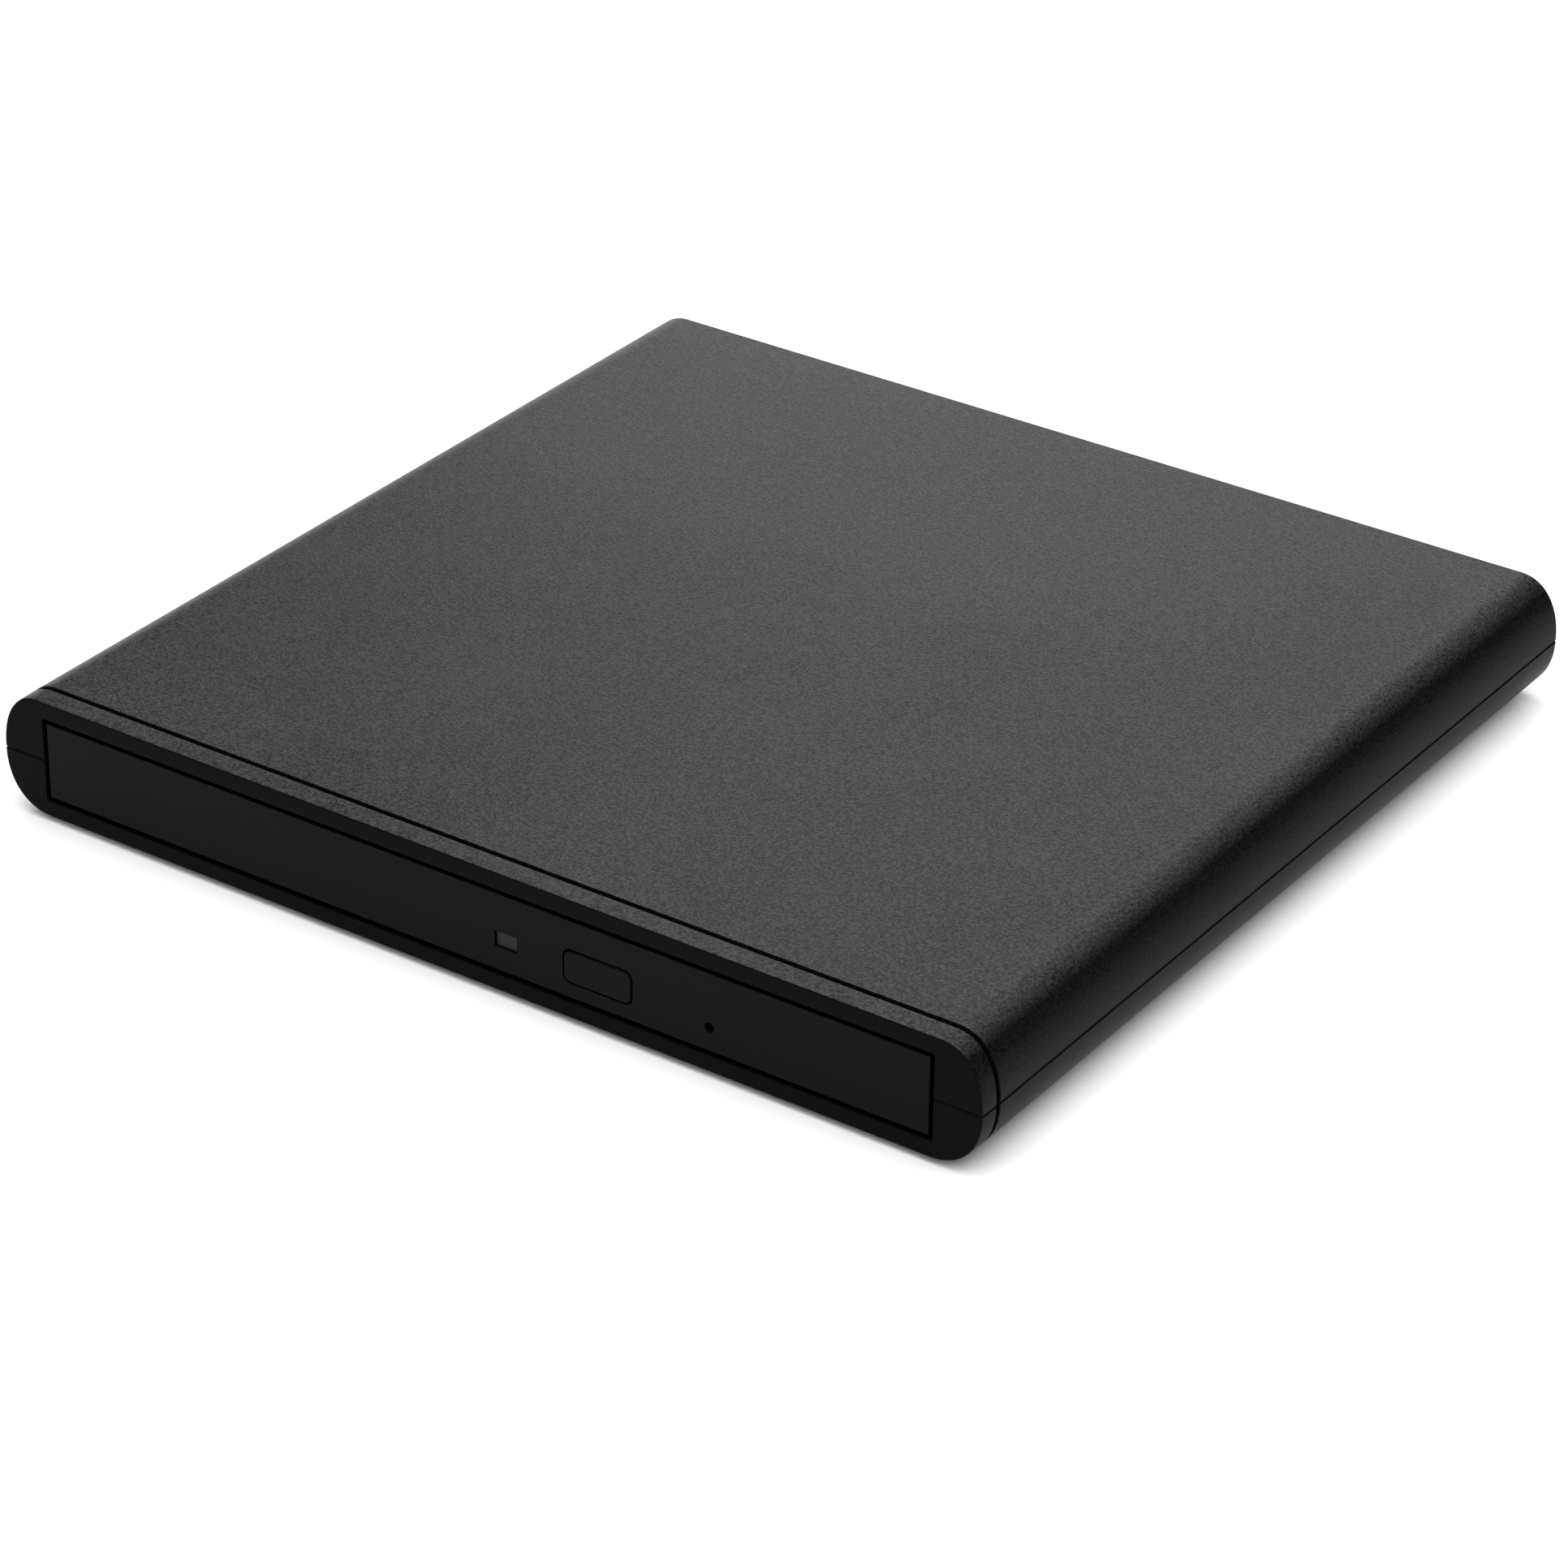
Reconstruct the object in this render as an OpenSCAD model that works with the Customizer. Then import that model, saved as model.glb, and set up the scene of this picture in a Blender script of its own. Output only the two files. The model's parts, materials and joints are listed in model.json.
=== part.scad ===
// External optical drive: a slim tray-loading disc drive in a two-shell plastic enclosure.
// Origin: centre of the bounding box in plan, at the underside of the rubber feet.
// +Z is up, the tray opens towards -Y, and +X is to the right seen from the front.

/* [Enclosure] */
// Width of the enclosure, left to right
case_w = 142; // [140:0.5:150]
// Depth of the enclosure, front to back
case_d = 136; // [136:0.5:150]
// Height of the two shells together
shell_h = 16; // [16:0.25:20]
// Height of the parting line above the shell's underside
parting_h = 7.8; // [7.7:0.1:8.4]
// Wall thickness of the shells
wall_t = 1.6; // [1.2:0.1:1.6]
// Width of the rounded edge of the upper shell
upper_edge_w = 5.8; // [4:0.1:6]
// Width of the rounded edge of the lower shell
lower_edge_w = 7; // [5:0.1:7.2]
// Distance of the trim groove behind the front face
groove_y = 3.3; // [2.8:0.1:5]

/* [Feet] */
// How far the rubber feet stand below the lower shell
foot_h = 0.8; // [0.5:0.1:1.5]
// Radius of a rubber foot
foot_r = 5; // [4:0.25:6]

/* [Drive] */
// Width of the slim drive and of its tray bezel
drive_w = 128; // [128:1:128]
// Height of the slim drive's metal case
drive_h = 9.5; // [9.5:0.1:9.5]
// Height of the tray bezel
bezel_h = 10.2; // [10:0.1:10.4]
// Gap round the tray bezel
bezel_gap = 0.6; // [0.3:0.05:0.7]
// How far the bezel sits behind the enclosure's front face
bezel_recess = 0.1; // [0.1:0.05:0.5]
// Sheet steel thickness of the drive's case
sheet_t = 0.5; // [0.4:0.1:0.5]

/* [Disc mechanism] */
// Radius of the disc well in the tray
well_r = 61; // [60.5:0.25:61.5]
// Radius of the centring hub, for a 15 mm disc hole
hub_r = 7.45; // [7.4:0.01:7.48]
// Angle of the sled's travel about +Z, measured from +X
sled_angle = 225; // [225:1:225]
// Distance from the spindle to the lens with the sled parked
lens_park_r = 23; // [23:0.5:25]

/* [Hidden] */
$fn = 64;
EPS = 0.01;

// Heights in the part's frame
z_bot = foot_h;
z_top = foot_h + shell_h;
z_part = foot_h + parting_h;
z_floor = z_bot + wall_t;
z_ceil = z_top - wall_t;
edge_exp = 2.24;      // exponent of the rounded edge's superellipse
edge_steps = 14;

// Plan positions
y_front = -case_d / 2;
y_back = case_d / 2;
front_wall = 2.2;
foot_x = 56;
foot_y_front = y_front + 10;
foot_y_rear = y_back - 6.5;
screw_x = 55;
foot_seat = 0.2;      // depth of the shallow seat that locates a foot

// Tray bezel and the opening round it
bezel_z0 = z_bot + 2.85;
bezel_z1 = bezel_z0 + bezel_h;
bezel_y0 = y_front + bezel_recess;
bezel_y1 = y_front + 2.8;
open_x = drive_w / 2 + bezel_gap;

// Slim drive
pan_x = drive_w / 2;
pan_z0 = (bezel_z0 + bezel_z1 - drive_h) / 2;
pan_floor = pan_z0 + sheet_t;
cover_z1 = pan_z0 + drive_h;
cover_z0 = cover_z1 - sheet_t;
pan_y0 = bezel_y1 + 0.3;
pan_y1 = y_front + 126.6;

// Front features on the bezel
led_x0 = 4.1;
led_x1 = 7.25;
led_z0 = z_bot + 5.9;
led_z1 = z_bot + 8;
led_recess = 0.3;     // depth of the indicator's lens below the bezel's face
button_x = 18.8;
button_w = 9.4;
button_z = z_bot + 7;
button_hgt = 4.1;
button_corner = 0.9;
button_gap = 0.25;
button_proud = 0.1;    // height of the eject button above the bezel's face
hole_x = 34.4;
hole_z = z_bot + 5.9;
hole_r = 0.65;

// Disc and mechanism, heights above the standing surface
disc_y = y_front + 65.5;
disc_z = 11;
tray_floor_z0 = 9.2;
tray_floor_z1 = 10.2;
tray_rim_z = 12.4;
tray_skirt_z = 5.2;
tray_x = 63.2;
tray_side_x = 59.9;
tray_skirt_x = 57.4;
tray_y0 = bezel_y1;
tray_y1 = pan_y1 - 1;
frame_z0 = 5.4;
frame_z1 = 9.9;
frame_u0 = -16;
frame_u1 = 64.4;
frame_v = 19.4;
pocket_u0 = 12.3;
pocket_u1 = 63;
pocket_v = 17.2;
motor_hole_r = 11.5;
rod_z = 7.6;
main_rod_v = -14.8;
main_rod_r = 1;
sub_rod_v = 11.2;
sub_rod_r = 0.9;
screw_v = 15.2;
screw_r = 1.2;
journal_r = 0.5;
run_gap = 0.05;
damper_uv = [[-12, 22.6], [-12, -22.6], [50, 22.6], [50, -22.6]];

// Sliding rails: heights are shared by the guides, the rails and the tray's grooves
rail_zc = 6.8;
rail_y0 = pan_y0 + 0.9;
rail_y1 = 50;

// Rear electronics
board_z0 = z_floor + 1;
board_z1 = board_z0 + 1;
board_y0 = pan_y1 + 0.9;
board_y1 = y_back - wall_t - 0.2;
usb_x = 38;
usb_w = 7.7;
usb_h = 3.9;
sata_w = 34;

// Latch at the front right of the tray
latch_x = 47.5;
latch_y = -48;
striker_x = 52.2;
striker_y = -56;

// ---------- helpers ----------

// A closed half section of a shell: a flat face with superellipse edges of width a and height b
function edge_pts(a, b) = [
    for (i = [0 : edge_steps])
        let (t = 90 * i / edge_steps)
        [a * pow(cos(t), 2 / edge_exp), b * pow(sin(t), 2 / edge_exp)]
];

// Section of the upper half, from the parting height up, pulled in all round by d
module upper_section(d) {
    a = upper_edge_w - d / 2;
    b = z_top - z_part - d;
    x = case_w / 2 - d - a;
    pts = edge_pts(a, b);
    right = [for (p = pts) [x + p[0], z_part + p[1]]];
    left = [for (i = [edge_steps : -1 : 0]) [-x - pts[i][0], z_part + pts[i][1]]];
    polygon(concat(right, left));
}

// Section of the lower half, from the parting height down, pulled in all round by d
module lower_section(d) {
    a = lower_edge_w - d / 2;
    b = z_part - z_bot - d;
    x = case_w / 2 - d - a;
    pts = edge_pts(a, b);
    left = [for (p = pts) [-x - p[0], z_part - p[1]]];
    right = [for (i = [edge_steps : -1 : 0]) [x + pts[i][0], z_part - pts[i][1]]];
    polygon(concat(left, right));
}

// Extrudes an XZ section along Y between two stations
module along_y(y0, y1) {
    translate([0, y1, 0])
        rotate([90, 0, 0])
            linear_extrude(y1 - y0) children();
}

// A box given by its lowest and highest corners
module block(a, b) {
    translate(a) cube(b - a);
}

// A cylinder along Y
module rod_y(x, z, y0, y1, r) {
    translate([x, y0, z])
        rotate([-90, 0, 0])
            cylinder(r = r, h = y1 - y0);
}

// A cylinder along X
module rod_x(y, z, x0, x1, r) {
    translate([x0, y, z])
        rotate([0, 90, 0])
            cylinder(r = r, h = x1 - x0);
}

// Places children in the traverse's own frame: +X runs from the spindle along the sled's travel
module at_traverse() {
    translate([0, disc_y, 0])
        rotate([0, 0, sled_angle]) children();
}

// In the traverse's frame, everything further left than x_lim: it keeps a corner off the tray's skirt
module beyond_skirt(x_lim) {
    rotate([0, 0, -sled_angle])
        block([-x_lim - 20, -80, -1], [-x_lim, 80, 30]);
}

// Places children over both rear screw positions
module at_case_screws() {
    for (s = [-1, 1])
        translate([s * screw_x, foot_y_rear, 0]) children();
}

// Places children over the four feet
module at_feet() {
    for (s = [-1, 1])
        for (y = [foot_y_front, foot_y_rear])
            translate([s * foot_x, y, 0]) children();
}

// Places children over the rear corner posts of the drive's pan
module at_cover_screws() {
    for (s = [-1, 1])
        translate([s * 61.4, pan_y1 - 3.6, 0]) children();
}

// Outline of the eject button, in XZ, grown by g
module button_outline(g) {
    r = button_corner + g;
    w = button_w / 2 + g - r;
    h = button_hgt / 2 + g - r;
    translate([button_x, button_z]) {
        square([2 * w, 2 * (h + r)], center = true);
        square([2 * (w + r), 2 * h], center = true);
        for (i = [-1, 1])
            for (j = [-1, 1])
                translate([i * w, j * h]) circle(r = r);
    }
}

// Solid outer form of one half of the enclosure: front ring, trim groove and body
module shell_form(upper) {
    groove_w = 0.75;
    groove_depth = 0.6;
    lead_in = 0.25;
    stations = [
        [y_front, y_front + lead_in, lead_in],
        [y_front + lead_in, y_front + groove_y - groove_w / 2, 0],
        [y_front + groove_y - groove_w / 2, y_front + groove_y + groove_w / 2, groove_depth],
        [y_front + groove_y + groove_w / 2, y_back, 0]
    ];
    for (s = stations)
        along_y(s[0], s[1])
            if (upper) upper_section(s[2]);
            else lower_section(s[2]);
}

// ---------- enclosure ----------

module upper_shell() {
    color("#26262a")
    difference() {
        union() {
            difference() {
                shell_form(true);
                along_y(y_front + front_wall, y_back - wall_t) upper_section(wall_t);
            }
            // ribs that hold the drive down
            for (x = [-46, -18, 18, 46])
                block([x - 0.6, pan_y0 + 6, cover_z1], [x + 0.6, pan_y1 - 6, z_ceil + EPS]);
            at_case_screws()
                translate([0, 0, z_part])
                    cylinder(r = 2.8, h = z_ceil - z_part + EPS);
        }
        block([-open_x, y_front - 1, z_part - 1], [open_x, y_front + front_wall + 1, bezel_z1 + bezel_gap]);
        at_case_screws()
            translate([0, 0, z_part - 1]) cylinder(r = 1.1, h = 5);
    }
}

module lower_shell() {
    color("#202023")
    difference() {
        union() {
            difference() {
                shell_form(false);
                along_y(y_front + front_wall, y_back - wall_t) lower_section(wall_t);
            }
            // ribs that carry the drive
            for (x = [-46, -18, 18, 46])
                block([x - 0.6, pan_y0 + 6, z_floor - EPS], [x + 0.6, pan_y1 - 1, pan_z0]);
            at_case_screws()
                translate([0, 0, z_floor - EPS])
                    cylinder(r = 2.8, h = z_part - z_floor + EPS);
            at_board_screws()
                translate([0, 0, z_floor - EPS])
                    cylinder(r = 1.8, h = board_z0 - z_floor + EPS);
        }
        block([-open_x, y_front - 1, bezel_z0 - bezel_gap], [open_x, y_front + front_wall + 1, z_part + 1]);
        at_feet()
            translate([0, 0, z_bot - 1]) cylinder(r = foot_r + 0.1, h = 1 + foot_seat);
        at_case_screws() {
            translate([0, 0, z_bot]) cylinder(r = 1.1, h = z_part);
            translate([0, 0, z_bot]) cylinder(r = 2.1, h = 1.2);
        }
        at_board_screws()
            translate([0, 0, z_floor - 0.8]) cylinder(r = 0.75, h = 3);
        block([usb_x - usb_w / 2 - 0.3, y_back - wall_t - 1, board_z1 - 0.15],
              [usb_x + usb_w / 2 + 0.3, y_back + 1, z_part + 1]);
    }
}

module rubber_feet() {
    color("#17171a")
    at_feet() {
        cylinder(r1 = foot_r - 0.3, r2 = foot_r, h = 0.3);
        translate([0, 0, 0.3]) cylinder(r = foot_r, h = z_bot + foot_seat - 0.3);
    }
}

module case_screws() {
    color("#b9bcc0")
    at_case_screws() {
        difference() {
            translate([0, 0, z_bot + 0.25]) cylinder(r = 1.9, h = 0.95);
            translate([0, 0, z_bot + 0.1]) cross_recess(1.1, 0.7);
        }
        translate([0, 0, z_bot + 1.2]) cylinder(r = 1, h = z_part + 3.4 - z_bot - 1.2);
    }
}

// Cross-shaped driver recess, cut upwards from z = 0
module cross_recess(reach, depth) {
    for (a = [0, 90])
        rotate([0, 0, a])
            translate([-reach, -0.2, 0]) cube([2 * reach, 0.4, depth]);
}

// ---------- rear electronics ----------

module at_board_screws() {
    for (x = [-20, 22])
        translate([x, (board_y0 + board_y1) / 2, 0]) children();
}

module bridge_board() {
    color("#1d5a35")
    difference() {
        block([-23, board_y0, board_z0], [50, board_y1, board_z1]);
        at_board_screws()
            translate([0, 0, board_z0 - 1]) cylinder(r = 0.8, h = 3);
    }
}

module board_screws() {
    color("#b9bcc0")
    at_board_screws() {
        difference() {
            translate([0, 0, board_z1]) cylinder(r = 1.6, h = 0.7);
            translate([0, 0, board_z1 + 0.3]) cross_recess(0.9, 1);
        }
        translate([0, 0, z_floor - 0.5]) cylinder(r = 0.7, h = board_z1 - z_floor + 0.5);
    }
}

module bridge_chip() {
    color("#141416")
    block([25.5, board_y0 + 0.6, board_z1], [30.5, board_y0 + 5.6, board_z1 + 1]);
}

module clock_crystal() {
    color("#c9cbcf")
    translate([46, (board_y0 + board_y1) / 2, board_z1])
        linear_extrude(1.1) {
            square([3.4, 2.2], center = true);
            for (s = [-1, 1])
                translate([s * 1.7, 0]) circle(r = 1.1);
        }
}

module board_capacitors() {
    color("#a88a60")
    for (i = [0 : 2])
        block([31.8, board_y0 + 0.7 + 1.8 * i, board_z1], [33, board_y0 + 1.5 + 1.8 * i, board_z1 + 0.8]);
}

// Folded steel shell of the mini USB socket, open at the back of the enclosure
module usb_socket_shell() {
    color("#c4c6ca")
    difference() {
        block([usb_x - usb_w / 2, board_y0 - 0.3, board_z1], [usb_x + usb_w / 2, y_back - 0.3, board_z1 + usb_h]);
        along_y(board_y0 + 0.2, y_back + 1)
            translate([usb_x, board_z1])
                polygon([
                    [-2.95, 0.4], [2.95, 0.4], [2.95, 1.2], [3.45, 1.8],
                    [3.45, 3.5], [-3.45, 3.5], [-3.45, 1.8], [-2.95, 1.2]
                ]);
    }
}

module usb_socket_insert() {
    color("#121214")
    union() {
        block([usb_x - 2.9, board_y0 + 0.2, board_z1 + 0.42], [usb_x + 2.9, board_y0 + 1.8, board_z1 + 3.48]);
        block([usb_x - 2.2, board_y0 + 1.7, board_z1 + 1.9], [usb_x + 2.2, y_back - 1.6, board_z1 + 2.8]);
    }
}

module sata_receptacle() {
    color("#151517")
    difference() {
        block([-sata_w / 2, board_y0 - 0.4, board_z1], [sata_w / 2, board_y0 + 4.6, board_z1 + 4.2]);
        block([-15.3, board_y0 - 1, 6.1], [15.3, board_y0 + 3, 7.3]);
    }
}

// ---------- slim drive's fixed parts ----------

module drive_base_pan() {
    color("#9a9da2")
    difference() {
        union() {
            block([-pan_x, pan_y0, pan_z0], [pan_x, pan_y1, pan_floor]);
            for (s = [-1, 1])
                block([s > 0 ? pan_x - sheet_t : -pan_x, pan_y0, pan_floor - EPS],
                      [s > 0 ? pan_x : sheet_t - pan_x, pan_y1, cover_z0]);
            block([-pan_x, pan_y1 - sheet_t, pan_floor - EPS], [pan_x, pan_y1, cover_z0]);
            at_cover_screws()
                translate([0, 0, pan_floor - EPS]) cylinder(r = 1.8, h = cover_z0 - pan_floor + EPS);
        }
        block([-sata_w / 2 - 0.4, pan_y1 - 1, pan_floor], [sata_w / 2 + 0.4, pan_y1 + 1, 9]);
        at_cover_screws()
            translate([0, 0, 9.9]) cylinder(r = 0.75, h = 5);
        for (y = [-40, 36])
            rod_x(y, rail_zc, -pan_x - 1, pan_x + 1, 0.7);
    }
}

module drive_top_cover() {
    color("#a4a7ac")
    difference() {
        block([-pan_x, pan_y0, cover_z0], [pan_x, pan_y1, cover_z1]);
        at_cover_screws()
            translate([0, 0, cover_z0 - 1]) cylinder(r = 0.75, h = 3);
    }
}

module cover_screws() {
    color("#b9bcc0")
    at_cover_screws() {
        difference() {
            translate([0, 0, cover_z1]) cylinder(r = 1.5, h = 0.5);
            translate([0, 0, cover_z1 + 0.2]) cross_recess(0.8, 1);
        }
        translate([0, 0, 10]) cylinder(r = 0.7, h = cover_z1 - 10);
    }
}

// Small screws that hold the rail guides to the pan's sides
module rail_screws() {
    color("#b9bcc0")
    for (s = [-1, 1])
        for (y = [-40, 36])
            mirror([s > 0 ? 0 : 1, 0, 0]) {
                rod_x(y, rail_zc, pan_x, pan_x + 0.5, 1.4);
                rod_x(y, rail_zc, 62.9, pan_x, 0.6);
            }
}

// Plastic C-shaped guide fixed inside the right wall of the pan
module rail_guide() {
    difference() {
        along_y(pan_y0 + 0.5, rail_y1 + 1)
            polygon([
                [61.2, 4.8], [63.45, 4.8], [63.45, 8.8], [61.2, 8.8],
                [61.2, 8], [62.7, 8], [62.7, 5.6], [61.2, 5.6]
            ]);
        for (y = [-40, 36])
            rod_x(y, rail_zc, 62, 65, 0.65);
    }
}

module rail_guide_right() {
    color("#e6e4dc") rail_guide();
}

module rail_guide_left() {
    color("#e6e4dc") mirror([1, 0, 0]) rail_guide();
}

// Fixed pin that the tray's latch hooks behind
module latch_striker() {
    color("#8d9094")
    translate([striker_x, striker_y, pan_floor]) {
        cylinder(r = 1.3, h = 0.4);
        cylinder(r = 0.8, h = 2.2);
    }
}

module main_board() {
    color("#1f5e38")
    block([-56, 30, 4.8], [56, pan_y1 - 0.8, 5.4]);
}

module main_board_chips() {
    color("#141416")
    for (c = [[-38, 36, 10, 10], [-16, 34, 14, 14], [12, 35, 7, 7], [30, 38, 9, 5], [44, 34, 5, 9]])
        block([c[0], c[1], 5.4], [c[0] + c[2], c[1] + c[3], 6.4]);
}

module sata_plug() {
    color("#19191b")
    union() {
        block([-sata_w / 2, pan_y1 - 6, 5.4], [sata_w / 2, pan_y1 + 0.4, 8.6]);
        block([-15, pan_y1, 6.3], [15, pan_y1 + 3.2, 7.1]);
    }
}

// Flat cable from the main board to the tray, lying along the pan's floor
module flex_cable() {
    color("#c98a3c")
    union() {
        block([-8, -30, 4.6], [12, 31, 4.72]);
        block([-8, 29.5, 4.6], [12, 32, 4.8]);
    }
}

// ---------- sliding rails ----------

// Steel I-section rail that telescopes between the pan's guide and the tray's groove
module slide_rail() {
    flange_h = 2;
    web_h = 0.8;
    along_y(rail_y0, rail_y1) {
        translate([61.95, rail_zc - flange_h / 2]) square([0.5, flange_h]);
        translate([58.7, rail_zc - flange_h / 2]) square([0.6, flange_h]);
        translate([59.2, rail_zc - web_h / 2]) square([2.85, web_h]);
    }
}

module rail_right() {
    color("#b4b7bb") slide_rail();
}

module rail_left() {
    color("#b4b7bb") mirror([1, 0, 0]) slide_rail();
}

// ---------- tray ----------

module tray() {
    color("#1b1b1e")
    difference() {
        union() {
            block([-tray_x, tray_y0, tray_floor_z0], [tray_x, tray_y1, tray_rim_z]);
            // side skirts that carry the rail grooves
            for (s = [-1, 1])
                block([s > 0 ? tray_skirt_x : -tray_side_x, tray_y0, tray_skirt_z],
                      [s > 0 ? tray_side_x : -tray_skirt_x, tray_y1, tray_floor_z0 + EPS]);
            // front wall and ribs below the floor
            block([-57.5, tray_y0, tray_skirt_z], [-3, tray_y0 + 1.4, tray_floor_z0 + EPS]);
            block([-57.5, 25.8, tray_skirt_z], [49.4, 27, tray_floor_z0 + EPS]);
            block([48.2, -46, tray_skirt_z], [49.4, 25, tray_floor_z0 + EPS]);
            at_traverse()
                for (p = damper_uv)
                    translate([p[0], p[1], 5.5]) cylinder(r = 1.1, h = tray_floor_z0 - 5.5 + EPS);
        }
        // disc well, with a ledge under the disc's rim
        translate([0, disc_y, tray_floor_z1 + 0.35]) cylinder(r = well_r, h = 5, $fn = 180);
        translate([0, disc_y, tray_floor_z1]) cylinder(r = well_r - 2.4, h = 5, $fn = 180);
        at_traverse()
            difference() {
                block([frame_u0 - 0.4, -frame_v - 0.4, tray_floor_z0 - 1],
                      [frame_u1 + 0.4, frame_v + 0.4, tray_rim_z + 1]);
                beyond_skirt(tray_skirt_x);
            }
        // bores for the traverse's screws
        at_traverse()
            for (p = damper_uv)
                translate([p[0], p[1], 5]) cylinder(r = 0.65, h = 3.4);
        // grooves for the telescoping rails
        for (s = [-1, 1])
            mirror([s > 0 ? 0 : 1, 0, 0]) {
                block([58.45, tray_y0 - 1, rail_zc - 1.25], [59.5, tray_y1 + 1, rail_zc + 1.25]);
                block([59.4, tray_y0 - 1, rail_zc - 0.65], [60.5, tray_y1 + 1, rail_zc + 0.65]);
            }
        // rear corners clear the pan's posts
        for (s = [-1, 1])
            block([s > 0 ? 59 : -70, pan_y1 - 6.2, 4], [s > 0 ? 70 : -59, tray_y1 + 1, 14]);
    }
}

module tray_bezel() {
    color("#1d1d20")
    difference() {
        block([-drive_w / 2, bezel_y0, bezel_z0], [drive_w / 2, bezel_y1, bezel_z1]);
        along_y(bezel_y0 - 1, bezel_y1 + 1) button_outline(button_gap);
        block([led_x0, bezel_y0 - 1, led_z0], [led_x1, bezel_y1 + 1, led_z1]);
        rod_y(hole_x, hole_z, bezel_y0 - 1, bezel_y1 + 1, hole_r);
    }
}

module led_lens() {
    color("#7d7f7a")
    block([led_x0, bezel_y0 + led_recess, led_z0], [led_x1, bezel_y1 + 0.9, led_z1]);
}

module eject_button() {
    color("#1d1d20")
    union() {
        along_y(bezel_y0 - button_proud, bezel_y1 - 0.8) button_outline(0);
        block([button_x - 1.2, bezel_y1 - 0.9, button_z - 0.8], [button_x + 1.2, bezel_y1 + 1, button_z + 0.8]);
    }
}

module front_board() {
    color("#1f5e38")
    block([-1, tray_y0 + 0.8, 5.3], [29, tray_y0 + 9, 5.9]);
}

module tact_switch() {
    color("#3a3a3d")
    union() {
        block([button_x - 2.2, tray_y0 + 2, 5.9], [button_x + 2.2, tray_y0 + 4.6, 8.8]);
        rod_y(button_x, button_z, tray_y0 + 1.7, tray_y0 + 2.1, 0.7);
    }
}

// Steel sheet that closes the tray's underside, left of the latch's channel
module tray_underside_cover() {
    color("#8f9297")
    block([-59.6, tray_y0 + 1, 4.9], [49.4, 27, tray_skirt_z]);
}

module ejector_plunger() {
    color("#dcdad2")
    union() {
        rod_y(hole_x, hole_z, bezel_y1 + 2.5, bezel_y1 + 11, 0.9);
        block([hole_x - 1.2, bezel_y1 + 10.5, tray_skirt_z], [hole_x + 1.2, bezel_y1 + 13, tray_floor_z0]);
    }
}

module latch_solenoid() {
    color("#7a4a2a")
    union() {
        rod_x(-40.5, 7.2, 33, 42, 1.9);
        for (x = [32.4, 42])
            block([x, -42.6, tray_skirt_z], [x + 0.6, -38.4, tray_floor_z0]);
    }
}

module latch_pivot_pin() {
    color("#b4b7bb")
    translate([latch_x, latch_y, 5.4]) {
        cylinder(r = 0.7, h = tray_floor_z0 - 5.4);
        cylinder(r = 1.2, h = 0.3);
    }
}

// Hook lever of the tray latch, drawn at its released angle
module latch_lever() {
    lever_z = 5.9;
    lever_t = 1.2;
    color("#e0ddd4")
    translate([latch_x, latch_y, lever_z])
        difference() {
            union() {
                cylinder(r = 1.8, h = lever_t);
                rotate([0, 0, -72.6])
                    translate([0, -0.8, 0]) cube([6.5, 1.6, lever_t]);
                rotate([0, 0, -72.6])
                    translate([6.5, 0, 0]) cylinder(r = 0.8, h = lever_t);
                translate([-5, -0.7, 0]) cube([5, 1.4, lever_t]);
            }
            translate([0, 0, -1]) cylinder(r = 0.7 + run_gap, h = 4);
        }
}

// ---------- traverse ----------

module traverse_frame() {
    ear_z0 = 6.4;
    ear_z1 = 7.4;
    color("#2b2b2e")
    at_traverse()
        difference() {
            union() {
                block([frame_u0, -frame_v, frame_z0], [frame_u1, frame_v, frame_z1]);
                for (p = damper_uv) {
                    inner_v = sign(p[1]) * (frame_v - 0.5);
                    translate([p[0], p[1], ear_z0]) cylinder(r = 3.4, h = ear_z1 - ear_z0);
                    block([p[0] - 3, min(inner_v, p[1]), ear_z0], [p[0] + 3, max(inner_v, p[1]), ear_z1]);
                }
            }
            translate([0, 0, frame_z0 - 1]) cylinder(r = motor_hole_r, h = 8);
            block([pocket_u0, -pocket_v, frame_z0 - 1], [pocket_u1, pocket_v, frame_z1 + 1]);
            // pocket of the stepper motor
            block([1, screw_v - 2.4, frame_z0 - 1], [pocket_u0 + EPS, screw_v + 2, frame_z1 + 1]);
            for (p = damper_uv)
                translate([p[0], p[1], frame_z0 - 1]) cylinder(r = 2, h = 5);
            for (r = [[main_rod_v, main_rod_r], [sub_rod_v, sub_rod_r]])
                rod_x(r[0], rod_z, 10.6, frame_u1 - 0.4, r[1] + 0.02);
            rod_x(screw_v, rod_z, pocket_u1 - 1, frame_u1 - 0.2, journal_r + run_gap);
            beyond_skirt(tray_skirt_x - 0.2);
        }
}

// Sheet over the traverse, with the slot that the lens looks through
module traverse_cover() {
    z0 = frame_z1;
    color("#38383b")
    at_traverse()
        difference() {
            block([frame_u0 + 0.6, -frame_v + 0.4, z0], [frame_u1 - 0.4, frame_v - 0.4, z0 + 0.25]);
            translate([0, 0, z0 - 1]) cylinder(r = 14.4, h = 3);
            block([10, -5.4, z0 - 1], [62.4, 5.4, z0 + 1]);
            beyond_skirt(tray_skirt_x - 0.4);
        }
}

module traverse_dampers() {
    color("#5a3440")
    at_traverse()
        for (p = damper_uv)
            translate([p[0], p[1], 0])
                rotate_extrude()
                    polygon([
                        [1.15, 5.6], [3, 5.6], [3, 6.38], [1.95, 6.38],
                        [1.95, 7.42], [3, 7.42], [3, 8.3], [1.15, 8.3]
                    ]);
}

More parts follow.
